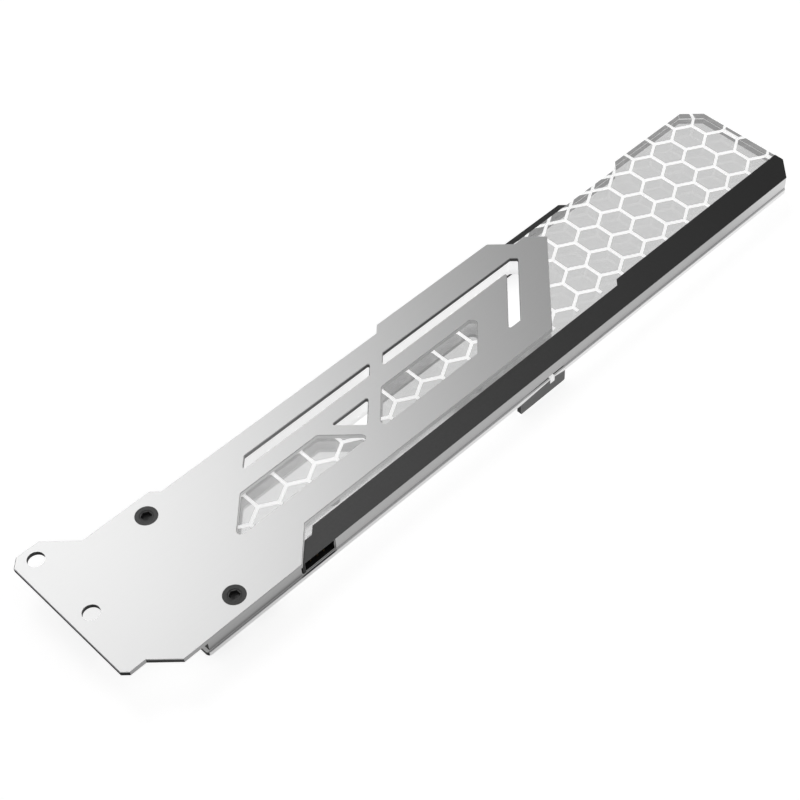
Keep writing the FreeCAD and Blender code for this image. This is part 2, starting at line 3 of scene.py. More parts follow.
import bpy
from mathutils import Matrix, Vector


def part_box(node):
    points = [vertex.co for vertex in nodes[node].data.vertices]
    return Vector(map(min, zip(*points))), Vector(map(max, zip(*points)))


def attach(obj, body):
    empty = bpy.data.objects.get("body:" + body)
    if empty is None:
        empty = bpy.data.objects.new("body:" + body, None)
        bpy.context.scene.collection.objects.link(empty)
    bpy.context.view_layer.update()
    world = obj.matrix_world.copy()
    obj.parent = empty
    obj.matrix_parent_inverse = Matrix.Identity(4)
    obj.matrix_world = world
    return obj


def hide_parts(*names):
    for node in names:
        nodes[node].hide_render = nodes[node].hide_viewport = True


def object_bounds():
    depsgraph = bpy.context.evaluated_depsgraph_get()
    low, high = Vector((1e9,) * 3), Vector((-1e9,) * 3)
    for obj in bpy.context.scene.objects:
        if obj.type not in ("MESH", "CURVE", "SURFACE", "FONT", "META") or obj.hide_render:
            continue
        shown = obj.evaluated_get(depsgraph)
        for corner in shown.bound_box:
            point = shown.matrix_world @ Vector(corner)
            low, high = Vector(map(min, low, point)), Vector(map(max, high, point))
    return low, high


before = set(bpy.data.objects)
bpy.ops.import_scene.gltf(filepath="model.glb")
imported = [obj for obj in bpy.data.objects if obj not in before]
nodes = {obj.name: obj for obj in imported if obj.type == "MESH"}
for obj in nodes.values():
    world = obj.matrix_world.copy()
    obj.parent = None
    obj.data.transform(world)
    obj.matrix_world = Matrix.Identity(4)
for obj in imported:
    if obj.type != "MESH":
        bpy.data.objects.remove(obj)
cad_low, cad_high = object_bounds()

# Camera
# It looks down on the bracket from in front of its slot end, with a long lens.
# The object lies left of the lens's axis, so the frame is shifted that way.
camera_data = bpy.data.cameras.new("camera")
camera = bpy.data.objects.new("camera", camera_data)
bpy.context.scene.collection.objects.link(camera)
camera_data.sensor_width = 36.0
camera_data.lens = 74.71
camera_data.shift_x = -0.1139
camera_data.clip_start = 0.01
camera_data.clip_end = 20.0
camera.location = (-0.08154, -0.21198, 0.30998)
camera.rotation_euler = [math.radians(a) for a in (40.050, 0.147, -46.017)]
bpy.context.scene.camera = camera

# Studio
# A pale room: an even sky and a bright soft box beyond the bracket's far side.
# The acrylic shows a wide dim panel in the box's place. The floor is a pale sheet.
bpy.context.scene.view_settings.view_transform = "Standard"
ROOM_LEVEL = 0.46
PANEL = {"turn": 34, "height": 50, "inner": 12, "outer": 62, "level": 0.48}
SOFT_BOX = {"turn": 18, "height": 51, "inner": 11, "outer": 15.5, "level": 3.4}


def link(tree, source, target):
    tree.links.new(source, target)


def soft_patch(tree, direction, lamp):
    """Brightness of a soft round patch of the room, by the way one looks."""
    turn, height = math.radians(lamp["turn"]), math.radians(lamp["height"])
    level_part = math.cos(height)
    towards = (math.sin(turn) * level_part, math.cos(turn) * level_part, math.sin(height))
    facing = tree.nodes.new("ShaderNodeVectorMath")
    facing.operation = "DOT_PRODUCT"
    facing.inputs[1].default_value = towards
    link(tree, direction, facing.inputs[0])
    edge = tree.nodes.new("ShaderNodeMapRange")
    edge.interpolation_type = "SMOOTHSTEP"
    edge.inputs["From Min"].default_value = math.cos(math.radians(lamp["outer"]))
    edge.inputs["From Max"].default_value = math.cos(math.radians(lamp["inner"]))
    edge.inputs["To Max"].default_value = lamp["level"]
    link(tree, facing.outputs["Value"], edge.inputs["Value"])
    return edge.outputs["Result"]


world = bpy.data.worlds.new("studio")
bpy.context.scene.world = world
world.use_nodes = True
room = world.node_tree
room.nodes.clear()
way = room.nodes.new("ShaderNodeTexCoord")
room_rays = room.nodes.new("ShaderNodeLightPath")
lamps = room.nodes.new("ShaderNodeMix")
link(room, room_rays.outputs["Is Transmission Ray"], lamps.inputs["Factor"])
link(room, soft_patch(room, way.outputs["Generated"], SOFT_BOX), lamps.inputs["A"])
link(room, soft_patch(room, way.outputs["Generated"], PANEL), lamps.inputs["B"])
level = room.nodes.new("ShaderNodeMath")
level.inputs[1].default_value = ROOM_LEVEL
link(room, lamps.outputs["Result"], level.inputs[0])
room_light = room.nodes.new("ShaderNodeBackground")
link(room, level.outputs["Value"], room_light.inputs["Strength"])
room_white = room.nodes.new("ShaderNodeBackground")
room_white.inputs["Color"].default_value = (1, 1, 1, 1)
room_mix = room.nodes.new("ShaderNodeMixShader")
link(room, room_rays.outputs["Is Camera Ray"], room_mix.inputs["Fac"])
link(room, room_light.outputs["Background"], room_mix.inputs[1])
link(room, room_white.outputs["Background"], room_mix.inputs[2])
room_out = room.nodes.new("ShaderNodeOutputWorld")
link(room, room_mix.outputs["Shader"], room_out.inputs["Surface"])

# The floor sheet is white to the camera, with a faint shadow of the bracket. In
# polished metal it shows a painted reflection, white on the right and painted dark
# left of the slot end.
FLOOR_SIZE = 6.0
FLOOR_GAP = 0.00002
FLOOR_COLOUR = (0.8, 0.8, 0.8, 1)
SHADOW_COLOUR = (0.46, 0.46, 0.46, 1)
FLOOR_GLOW = 0.8
PAINTED_REFLECTION_TONES = ((-0.008, 0.03), (-0.00086, 0.62), (0.1586, 0.95))


def level_along(tree, axis, stops):
    """Brightness along one axis of the bracket, from places in metres."""
    place = tree.nodes.new("ShaderNodeTexCoord")
    split = tree.nodes.new("ShaderNodeSeparateXYZ")
    link(tree, place.outputs["Object"], split.inputs["Vector"])
    first, last = stops[0][0], stops[-1][0]
    reach = tree.nodes.new("ShaderNodeMapRange")
    reach.inputs["From Min"].default_value = first
    reach.inputs["From Max"].default_value = last
    link(tree, split.outputs[axis], reach.inputs["Value"])
    ramp = tree.nodes.new("ShaderNodeValToRGB")
    link(tree, reach.outputs["Result"], ramp.inputs["Fac"])
    points = ramp.color_ramp.elements
    while len(points) < len(stops):
        points.new(0.5)
    for point, (where, level) in zip(points, stops):
        point.position = (where - first) / (last - first)
        point.color = (level, level, level, 1)
    return ramp.outputs["Color"]


bpy.ops.object.select_all(action="DESELECT")
bpy.ops.mesh.primitive_plane_add(size=FLOOR_SIZE, location=(0, 0, cad_low.z - FLOOR_GAP))
floor = bpy.context.object
floor.name = "floor"
floor_paint = bpy.data.materials.new("floor_sheet")
floor_paint.use_nodes = True
sheet = floor_paint.node_tree
sheet.nodes.clear()
matt = sheet.nodes.new("ShaderNodeBsdfDiffuse")
matt.inputs["Color"].default_value = FLOOR_COLOUR
shade = sheet.nodes.new("ShaderNodeBsdfDiffuse")
shade.inputs["Color"].default_value = SHADOW_COLOUR
glow = sheet.nodes.new("ShaderNodeEmission")
glow.inputs["Strength"].default_value = FLOOR_GLOW
seen = sheet.nodes.new("ShaderNodeAddShader")
link(sheet, shade.outputs["BSDF"], seen.inputs[0])
link(sheet, glow.outputs["Emission"], seen.inputs[1])
# Painted reflection: what polished metal sees of the floor is a glowing tone along X.
painted_reflection = sheet.nodes.new("ShaderNodeEmission")
link(sheet, level_along(sheet, "X", PAINTED_REFLECTION_TONES), painted_reflection.inputs["Color"])
rays = sheet.nodes.new("ShaderNodeLightPath")
to_camera = sheet.nodes.new("ShaderNodeMixShader")
link(sheet, rays.outputs["Is Camera Ray"], to_camera.inputs["Fac"])
link(sheet, matt.outputs["BSDF"], to_camera.inputs[1])
link(sheet, seen.outputs["Shader"], to_camera.inputs[2])
to_metal = sheet.nodes.new("ShaderNodeMixShader")
link(sheet, rays.outputs["Is Glossy Ray"], to_metal.inputs["Fac"])
link(sheet, to_camera.outputs["Shader"], to_metal.inputs[1])
link(sheet, painted_reflection.outputs["Emission"], to_metal.inputs[2])
floor_out = sheet.nodes.new("ShaderNodeOutputMaterial")
link(sheet, to_metal.outputs["Shader"], floor_out.inputs["Surface"])
floor.data.materials.append(floor_paint)

# Base plate with its folded shelf
# A sheet of silver anodised aluminium, 1.2 mm thick, sheared and folded. It is
# the back of the bracket and everything else is fixed to it.


def grain_group():
    """Shared finish: fine marks drawn out along X, and soft cloudy tone."""
    group = bpy.data.node_groups.new("drawn_grain", "ShaderNodeTree")
    group.interface.new_socket(name="Place", in_out="INPUT", socket_type="NodeSocketVector")
    for socket in ("Along", "Across", "Depth"):
        group.interface.new_socket(name=socket, in_out="INPUT", socket_type="NodeSocketFloat")
    for socket in ("Tone", "Height"):
        group.interface.new_socket(name=socket, in_out="OUTPUT", socket_type="NodeSocketFloat")
    start, end = group.nodes.new("NodeGroupInput"), group.nodes.new("NodeGroupOutput")
    stretch = group.nodes.new("ShaderNodeCombineXYZ")
    link(group, start.outputs["Along"], stretch.inputs["X"])
    link(group, start.outputs["Across"], stretch.inputs["Y"])
    link(group, start.outputs["Across"], stretch.inputs["Z"])
    drawn = group.nodes.new("ShaderNodeVectorMath")
    drawn.operation = "MULTIPLY"
    link(group, start.outputs["Place"], drawn.inputs[0])
    link(group, stretch.outputs["Vector"], drawn.inputs[1])
    marks = group.nodes.new("ShaderNodeTexNoise")
    marks.inputs["Scale"].default_value = 1.0
    marks.inputs["Detail"].default_value = 3.0
    link(group, drawn.outputs["Vector"], marks.inputs["Vector"])
    cloud = group.nodes.new("ShaderNodeTexNoise")
    cloud.inputs["Scale"].default_value = 28.0
    cloud.inputs["Detail"].default_value = 2.0
    link(group, start.outputs["Place"], cloud.inputs["Vector"])
    both = group.nodes.new("ShaderNodeMath")
    both.operation = "MULTIPLY_ADD"
    both.inputs[1].default_value = 0.35
    link(group, cloud.outputs["Fac"], both.inputs[0])
    link(group, marks.outputs["Fac"], both.inputs[2])
    centred = group.nodes.new("ShaderNodeMath")
    centred.operation = "SUBTRACT"
    centred.inputs[1].default_value = 0.675
    link(group, both.outputs["Value"], centred.inputs[0])
    tone = group.nodes.new("ShaderNodeMath")
    tone.operation = "MULTIPLY_ADD"
    tone.inputs[2].default_value = 1.0
    link(group, centred.outputs["Value"], tone.inputs[0])
    link(group, start.outputs["Depth"], tone.inputs[1])
    link(group, tone.outputs["Value"], end.inputs["Tone"])
    link(group, marks.outputs["Fac"], end.inputs["Height"])
    return group


DRAWN_GRAIN = grain_group()


def cut_edge_group():
    """Shared mask of chamfers, which face partly upwards, for a painted highlight and less
    roughness.
    """
    group = bpy.data.node_groups.new("cut_edge", "ShaderNodeTree")
    group.interface.new_socket(name="Facing", in_out="INPUT", socket_type="NodeSocketVector")
    group.interface.new_socket(name="Rim", in_out="OUTPUT", socket_type="NodeSocketFloat")
    start, end = group.nodes.new("NodeGroupInput"), group.nodes.new("NodeGroupOutput")
    parts = group.nodes.new("ShaderNodeSeparateXYZ")
    link(group, start.outputs["Facing"], parts.inputs["Vector"])
    size = group.nodes.new("ShaderNodeMath")
    size.operation = "ABSOLUTE"
    link(group, parts.outputs["Z"], size.inputs[0])
    rim = group.nodes.new("ShaderNodeMath")
    rim.operation = "COMPARE"
    rim.inputs[1].default_value = 0.6
    rim.inputs[2].default_value = 0.35
    link(group, size.outputs["Value"], rim.inputs[0])
    link(group, rim.outputs["Value"], end.inputs["Rim"])
    return group


CUT_EDGE = cut_edge_group()


def empty_finish(name):
    """A new finish, with its node tree and its shader."""
    material = bpy.data.materials.new(name)
    material.use_nodes = True
    return material, material.node_tree, material.node_tree.nodes["Principled BSDF"]


def toned(tree, tone, colour, shader):
    """The finish's colour, darker and lighter with its marks."""
    mix = tree.nodes.new("ShaderNodeMix")
    mix.data_type = "RGBA"
    mix.blend_type = "MULTIPLY"
    mix.inputs["Factor"].default_value = 1.0
    mix.inputs["A"].default_value = (*colour, 1)
    link(tree, tone, mix.inputs["B"])
    link(tree, mix.outputs["Result"], shader.inputs["Base Color"])


def grained(tree, along, across, depth):
    """The shared grain, with its counts per metre and the depth of its tone."""
    place = tree.nodes.new("ShaderNodeTexCoord")
    grain = tree.nodes.new("ShaderNodeGroup")
    grain.node_tree = DRAWN_GRAIN
    grain.inputs["Along"].default_value = along
    grain.inputs["Across"].default_value = across
    grain.inputs["Depth"].default_value = depth
    link(tree, place.outputs["Object"], grain.inputs["Place"])
    return grain


def bumped(tree, height, distance, strength, shader):
    """Relief on the finish, its distance in metres."""
    bump = tree.nodes.new("ShaderNodeBump")
    bump.inputs["Distance"].default_value = distance
    bump.inputs["Strength"].default_value = strength
    link(tree, height, bump.inputs["Height"])
    link(tree, bump.outputs["Normal"], shader.inputs["Normal"])


# Painted highlight: how much brighter the chamfers' colour is made.
PAINTED_RIM_HIGHLIGHT = 0.6


def brushed_metal(
        name, colour, roughness, rim_roughness, marks=0.1, along=120.0, across=5200.0):
    """Sheet metal brushed along X, with a painted highlight on its chamfers, which are also
    smoother.
    """
    material, tree, shader = empty_finish(name)
    shader.inputs["Metallic"].default_value = 1.0
    grain = grained(tree, along, across, marks)
    facing = tree.nodes.new("ShaderNodeNewGeometry")
    edge = tree.nodes.new("ShaderNodeGroup")
    edge.node_tree = CUT_EDGE
    link(tree, facing.outputs["True Normal"], edge.inputs["Facing"])
    # Painted highlight: the chamfers' colour is made brighter.
    shine = tree.nodes.new("ShaderNodeMath")
    shine.operation = "MULTIPLY_ADD"
    shine.inputs[1].default_value = PAINTED_RIM_HIGHLIGHT
    link(tree, edge.outputs["Rim"], shine.inputs[0])
    link(tree, grain.outputs["Tone"], shine.inputs[2])
    toned(tree, shine.outputs["Value"], colour, shader)
    rough = tree.nodes.new("ShaderNodeMix")
    rough.inputs["A"].default_value = roughness
    rough.inputs["B"].default_value = rim_roughness
    link(tree, edge.outputs["Rim"], rough.inputs["Factor"])
    varied = tree.nodes.new("ShaderNodeMath")
    varied.operation = "MULTIPLY"
    link(tree, rough.outputs["Result"], varied.inputs[0])
    link(tree, grain.outputs["Tone"], varied.inputs[1])
    link(tree, varied.outputs["Value"], shader.inputs["Roughness"])
    bumped(tree, grain.outputs["Height"], 0.00002, 0.12, shader)
    return material


def finish_node(name, material):
    """Gives a node of the frame its finish."""
    nodes[name].data.materials.clear()
    nodes[name].data.materials.append(material)


back_sheet_silver = brushed_metal("silver_back_sheet", (0.86, 0.86, 0.86), 0.30, 0.2)
finish_node("base_plate", back_sheet_silver)


def blasted(name, colour, roughness, fine):
    """Blasted and anodised metal: an even fine skin with hardly any shine."""
    material, tree, shader = empty_finish(name)
    skin = grained(tree, fine, fine, 0.16)
    toned(tree, skin.outputs["Tone"], colour, shader)
    shader.inputs["Metallic"].default_value = 0.25
    varied = tree.nodes.new("ShaderNodeMath")
    varied.operation = "MULTIPLY"
    varied.inputs[1].default_value = roughness
    link(tree, skin.outputs["Tone"], varied.inputs[0])
    link(tree, varied.outputs["Value"], shader.inputs["Roughness"])
    bumped(tree, skin.outputs["Height"], 0.00004, 0.2, shader)
    return material


def painted_glow_surface(name, colour, roughness, fine, levels):
    """Frosted surface with a painted glow, its strength set by its place along X."""
    material, tree, shader = empty_finish(name)
    frost = grained(tree, fine, fine, 0.06)
    toned(tree, frost.outputs["Tone"], colour, shader)
    shader.inputs["Roughness"].default_value = roughness
    glow = tree.nodes.new("ShaderNodeMix")
    glow.data_type = "RGBA"
    glow.blend_type = "MULTIPLY"
    glow.inputs["Factor"].default_value = 1.0
    link(tree, level_along(tree, "X", levels), glow.inputs["A"])
    link(tree, frost.outputs["Tone"], glow.inputs["B"])
    link(tree, glow.outputs["Result"], shader.inputs["Emission Color"])
    shader.inputs["Emission Strength"].default_value = 1.0
    return material


# How near two places count as the same, and where the openings and the notch lie.
HAIR, NEAR = 0.00001, 0.0001
WINDOW_LOW, WINDOW_HIGH = -0.0182, -0.0087
LEFT_WINDOW_START, LEFT_WINDOW_END = 0.0527, 0.0592
RIGHT_WINDOW_START, RIGHT_WINDOW_END = 0.0979, 0.1316
OPENINGS_LEFT, OPENINGS_RIGHT = 0.044, 0.149
OPENINGS_LOW, OPENINGS_HIGH = -0.0245, -0.0002
NOTCH_LEFT, NOTCH_RIGHT = 0.1229, 0.1245
NOTCH_BACK_Y = -0.0334
NOTCH_FLOOR = -0.0057


def is_wall(polygon):
    """Whether a face stands upright on the bracket's plane."""
    return abs(polygon.normal.z) < 0.1


def in_window(polygon):
    """Whether a face lies over a window of the face plate, whose ends slant at 45 degrees."""
    x, y = polygon.center.x, polygon.center.y
    in_left = x - y > LEFT_WINDOW_START and x + y < LEFT_WINDOW_END
    in_right = RIGHT_WINDOW_START < x - y < RIGHT_WINDOW_END
    return WINDOW_LOW < y < WINDOW_HIGH and (in_left or in_right)


def in_openings(polygon):
    """Whether a face is a wall of the slots and the triangle, which light fills."""
    x, y = polygon.center.x, polygon.center.y
    within = OPENINGS_LEFT < x < OPENINGS_RIGHT and OPENINGS_LOW < y < OPENINGS_HIGH
    return within and is_wall(polygon) and not in_window(polygon)


def in_notch(corners):
    """Whether a face is one of the walls of the small notch in the shelf's fold."""
    within = all(
        NOTCH_LEFT - HAIR < c.x < NOTCH_RIGHT + HAIR
        and c.y < NOTCH_BACK_Y + HAIR and c.z > NOTCH_FLOOR - HAIR for c in corners)
    return within and max(c.y for c in corners) > NOTCH_BACK_Y - NEAR


SHELF_LEFT, SHELF_RIGHT = 0.1122, 0.1284
SHELF_FACE_Y = -0.0341
SHEET_BACK = -0.0050
SHEET_END_X = 0.02
INNER_FACE = -0.0039
COVERED_FROM_Y = -0.0336
SHELF_GREY = (0.2, 0.2, 0.2)
PAINTED_SHADE_END_GREY = (0.012, 0.012, 0.012)
SLOT_LIGHT = ((0.04, 0.42), (0.15, 0.5))
base_mesh = nodes["base_plate"].data
base_mesh.materials.append(blasted("grey_shelf_face", SHELF_GREY, 0.55, 2600))
# Left-facing ends of the sheet and the shelf get painted shade, a near-black colour.
base_mesh.materials.append(blasted("painted_shade_sheet_end", PAINTED_SHADE_END_GREY, 0.6, 2600))
# Walls of the slots, the triangle and the notch get a painted glow along X.
base_mesh.materials.append(painted_glow_surface("lit_slot_wall", (0.5, 0.5, 0.5), 0.5, 1500, SLOT_LIGHT))

# The sheet's inner face is bare metal beside the light guide. Under it the face is
# painted a dull grey with a painted glow, for light through the acrylic.
BESIDE_AND_UNDER = {
    "Base Color": (0.86, 0.3), "Metallic": (1.0, 0.2), "Emission Color": (0.0, 0.2)}
painted_glow_inner_face, tree, shader = empty_finish("inner_face_painted_glow")
for socket, (beside, under) in BESIDE_AND_UNDER.items():
    stops = ((COVERED_FROM_Y - NEAR, beside), (COVERED_FROM_Y, under))
    link(tree, level_along(tree, "Y", stops), shader.inputs[socket])
shader.inputs["Emission Strength"].default_value = 1.0
shader.inputs["Roughness"].default_value = 0.3
bumped(tree, grained(tree, 120, 5200, 0.1).outputs["Height"], 0.00002, 0.12, shader)
base_mesh.materials.append(painted_glow_inner_face)

SHEET, SHELF, SHEET_END, SLOT_WALL, PAINTED_GLOW_UNDER_GUIDE = range(5)
for polygon in base_mesh.polygons:
    x, y, z = polygon.center
    corners = [base_mesh.vertices[v].co for v in polygon.vertices]
    on_shelf = all(SHELF_LEFT - HAIR < c.x < SHELF_RIGHT + HAIR for c in corners)
    on_outside = polygon.normal.y < -0.5 and y < SHELF_FACE_Y + HAIR
    if on_shelf and on_outside and min(c.z for c in corners) < SHEET_BACK - NEAR:
        polygon.material_index = SHELF
    elif polygon.normal.x < -0.5 and (x < SHEET_END_X or on_shelf and x < SHELF_LEFT + HAIR):
        polygon.material_index = SHEET_END
    elif in_openings(polygon) or in_notch(corners):
        polygon.material_index = SLOT_WALL
    elif polygon.normal.z > 0.9 and z > INNER_FACE and not on_shelf:
        polygon.material_index = PAINTED_GLOW_UNDER_GUIDE
    else:
        polygon.material_index = SHEET

# Rubber pad of the shelf
# A soft strip of black rubber with grip grooves, cut from sheet and glued inside
# the fold, where the card's edge lies on it.


def matt_black(name, colour, roughness, fine, distance, strength):
    """Coated or moulded black: a fine even skin and a little dust of tone."""
    material, tree, shader = empty_finish(name)
    grain = grained(tree, fine, fine, 0.5)
    toned(tree, grain.outputs["Tone"], colour, shader)
    varied = tree.nodes.new("ShaderNodeMath")
    varied.operation = "MULTIPLY"
    varied.inputs[1].default_value = roughness
    link(tree, grain.outputs["Tone"], varied.inputs[0])
    link(tree, varied.outputs["Value"], shader.inputs["Roughness"])
    bumped(tree, grain.outputs["Height"], distance, strength, shader)
    return material


def alone(piece):
    """Makes one piece the only selected and the active one."""
    bpy.ops.object.select_all(action="DESELECT")
    piece.select_set(True)
    bpy.context.view_layer.objects.active = piece


def block(name, low, high):
    """Rough block between two corners, to be shaped in edit mode."""
    low, high = Vector(low), Vector(high)
    bpy.ops.object.select_all(action="DESELECT")
    bpy.ops.mesh.primitive_cube_add(size=1, location=(low + high) / 2, scale=high - low)
    bpy.ops.object.transform_apply(location=True, rotation=True, scale=True)
    piece = bpy.context.object
    piece.name = name
    return piece


def pick_faces(piece, test):
    """Selects, in edit mode, the faces whose middle and normal pass a test."""
    bpy.ops.mesh.select_mode(type="FACE")
    bpy.ops.mesh.select_all(action="DESELECT")
    bpy.ops.object.mode_set(mode="OBJECT")
    for polygon in piece.data.polygons:
        polygon.select = test(polygon.center, polygon.normal)
    bpy.ops.object.mode_set(mode="EDIT")


def bisect_all(places, axis):
    """Cuts the whole piece in edit mode at places along an axis."""
    for place in places:
        bpy.ops.mesh.select_all(action="SELECT")
        bpy.ops.mesh.bisect(plane_co=[place * a for a in axis], plane_no=axis)


def finish_pieces(made, finishes, node, rim=0.0, angle=35):
    """Breaks the edges, gives the finishes, and sets the pieces in their node's place."""
    for piece in made:
        alone(piece)
        bpy.ops.object.transform_apply(location=True, rotation=True, scale=True)
        if not piece.data.materials:
            for finish in finishes:
                piece.data.materials.append(finish)
        if rim:
            broken = piece.modifiers.new("broken_edges", "BEVEL")
            broken.width = rim
            broken.segments = 2
            broken.limit_method = "ANGLE"
            bpy.ops.object.modifier_apply(modifier=broken.name)
        bpy.ops.object.shade_smooth_by_angle(angle=math.radians(angle))
        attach(piece, "root")
        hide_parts(node)


PAD_STRIPS = 7
PAD_END = 0.0012
PAD_GRIP = 0.0003
PAD_RIM = 0.00012
rubber = matt_black("black_rubber", (0.035, 0.035, 0.035), 0.85, 2600, 0.0001, 0.4)
pad_low, pad_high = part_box("card_pad")
pad_ends = (pad_low.x + PAD_END, pad_high.x - PAD_END)
pad_step = (pad_high.z - pad_low.z) / PAD_STRIPS
pad = block("card_pad_rubber", pad_low, pad_high)
bpy.ops.object.mode_set(mode="EDIT")
bisect_all([pad_low.z + i * pad_step for i in range(1, PAD_STRIPS)], (0, 0, 1))
bisect_all(pad_ends, (1, 0, 0))


def in_grip_groove(middle, normal):
    """Whether a face is one of every second strip on the pad's upper side."""
    strip = int((middle.z - pad_low.z) / pad_step)
    return normal.y > 0.9 and strip % 2 == 1 and pad_ends[0] < middle.x < pad_ends[1]


pick_faces(pad, in_grip_groove)
bpy.ops.mesh.extrude_region_move(TRANSFORM_OT_translate={"value": (0, -PAD_GRIP, 0)})
bpy.ops.object.mode_set(mode="OBJECT")
finish_pieces([pad], [rubber], "card_pad", PAD_RIM)

# Stiffener bar and its rivets
# A flat steel strip cut to an L and powder-coated black. Two zinc-plated rivets
# hold it along the upper edge of the back sheet.
COAT_BLACK = (0.022, 0.022, 0.022)
powder_coat = matt_black("black_powder_coat", COAT_BLACK, 0.5, 1800, 0.00012, 0.35)
finish_node("stiffener_bar", powder_coat)


def turned(name, x, y, rings, sides=40, turn=0.0):
    """Turned piece: a disc drawn up ring by ring, each a level and a radius."""
    level, radius = rings[0]
    bpy.ops.object.select_all(action="DESELECT")
    bpy.ops.mesh.primitive_circle_add(
        vertices=sides, radius=radius, fill_type="NGON",
        location=(x, y, level), rotation=(0, 0, turn))
    piece = bpy.context.object
    piece.name = name
    bpy.ops.object.transform_apply(location=True, rotation=True, scale=True)
    bpy.ops.object.mode_set(mode="EDIT")
    bpy.ops.mesh.select_all(action="SELECT")
    for next_level, next_radius in rings[1:]:
        rise = (0, 0, next_level - level)
        bpy.ops.mesh.extrude_region_move(TRANSFORM_OT_translate={"value": rise})
        grown = next_radius / radius
        bpy.ops.transform.resize(value=(grown, grown, 1), center_override=(x, y, next_level))
        level, radius = next_level, next_radius
    bpy.ops.mesh.select_all(action="SELECT")
    bpy.ops.mesh.normals_make_consistent(inside=False)
    bpy.ops.object.mode_set(mode="OBJECT")
    return piece


def copies(piece, shifts):
    """The piece and its copies, each with a mesh of its own."""
    made = [piece]
    for number, shift in enumerate(shifts, 2):
        alone(piece)
        bpy.ops.object.duplicate(linked=False)
        twin = bpy.context.object
        twin.name = piece.name + "_" + str(number)
        bpy.ops.transform.translate(value=shift)
        made.append(twin)
    piece.name += "_1"
    return made


RIVET_XS = (0.090, 0.158)
rivet_low, rivet_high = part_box("bar_rivets")
rivet_y = (rivet_low.y + rivet_high.y) / 2
RIVET_RINGS = (
    (-0.0068, 0.0005), (-0.00674, 0.00088), (-0.0066, 0.0012), (-0.00642, 0.0014),
    (-0.00625, 0.0015), (-0.0062, 0.0015), (-0.0062, 0.001), (-0.0043, 0.001),
    (-0.0038, 0.00149),
)


def plated_steel(name, grey, roughness=0.3):
    """Small zinc-plated part: steel with a fine even grain and a bluish grey."""
    return brushed_metal(name, (grey, grey, grey + 0.01), roughness, 0.25, 0.12, 900, 900)


zinc = plated_steel("zinc_plate", 0.62, 0.32)
rivet = turned("bar_rivet", RIVET_XS[0], rivet_y, RIVET_RINGS)
rivets = copies(rivet, [(RIVET_XS[1] - RIVET_XS[0], 0, 0)])
finish_pieces(rivets, [zinc], "bar_rivets")

# Reflector
# A plastic film with a bright silver face, cut to the light guide's outline. It
# lies loose under it, slightly wavy, and throws the strip's light forwards.
silver_film, tree, shader = empty_finish("silver_film")
shader.inputs["Metallic"].default_value = 1.0
film = grained(tree, 160, 160, 0.03)
toned(tree, film.outputs["Tone"], (0.84, 0.84, 0.84), shader)
shader.inputs["Roughness"].default_value = 0.05
bumped(tree, film.outputs["Height"], 0.00002, 0.05, shader)
finish_node("reflector_sheet", silver_film)
film_mesh = nodes["reflector_sheet"].data
# The film's walls and edges get a painted glow along X.
PAINTED_FILM_WALL_GLOW = ((0.04, 0.62), (0.15, 0.62))
PAINTED_FILM_EDGE_GLOW = ((0.04, 0.2), (0.22, 0.2))
film_mesh.materials.append(painted_glow_surface("lit_film_wall", (0.5, 0.5, 0.5), 0.5, 1500, PAINTED_FILM_WALL_GLOW))
film_mesh.materials.append(painted_glow_surface("film_edge_painted_glow", (0.2, 0.2, 0.2), 0.5, 1500, PAINTED_FILM_EDGE_GLOW))
FILM, FILM_WALL, FILM_EDGE = range(3)
for polygon in film_mesh.polygons:
    if in_openings(polygon):
        polygon.material_index = FILM_WALL
    else:
        polygon.material_index = FILM_EDGE if is_wall(polygon) else FILM


def spot_of(vertex):
    """A corner's place in the sheet, the same for all triangles that meet there."""
    return round(vertex.co.x, 5), round(vertex.co.y, 5)


# The film reaches out to the light guide's upper and far edges, corner by corner.
FILM_REACH = 0.00038
SAME_WAY = 0.01
walls_at = {}
for polygon in film_mesh.polygons:
    if is_wall(polygon) and not in_openings(polygon):
        for index in polygon.vertices:
            walls = walls_at.setdefault(spot_of(film_mesh.vertices[index]), [])
            if all((polygon.normal - other).length > SAME_WAY for other in walls):
                walls.append(polygon.normal.copy())
film_reach = {}
for spot, walls in walls_at.items():
    first, last = walls[0], walls[-1]
    film_reach[spot] = first[:2]
    if len(walls) > 1:
        turn = first.x * last.y - first.y * last.x
        film_reach[spot] = ((last.y - first.y) / turn, (first.x - last.x) / turn)
for number, axis in enumerate("XY"):
    outward = nodes["reflector_sheet"].vertex_groups.new(name="reach_" + axis)
    for vertex in film_mesh.vertices:
        share = film_reach.get(spot_of(vertex), (0, 0))[number]
        if share > 0:
            outward.add([vertex.index], min(share, 1.0), "REPLACE")
    grown = nodes["reflector_sheet"].modifiers.new("reach_" + axis, "DISPLACE")
    grown.direction = axis
    grown.mid_level = 0.0
    grown.strength = FILM_REACH
    grown.vertex_group = outward.name

# Light strip
# A stiff white board with its light diodes and capacitors soldered on, held by
# foam tape in the channel along the light guide's lower edge.
solder_mask = matt_black("white_solder_mask", (0.8, 0.8, 0.78), 0.4, 900, 0.00005, 0.2)
finish_node("led_board", solder_mask)
finish_node("led_tape", matt_black("foam_tape", (0.75, 0.75, 0.72), 0.9, 3000, 0.0001, 0.4))
diode_body = matt_black("white_diode_body", (0.82, 0.81, 0.76), 0.35, 1500, 0.00004, 0.2)
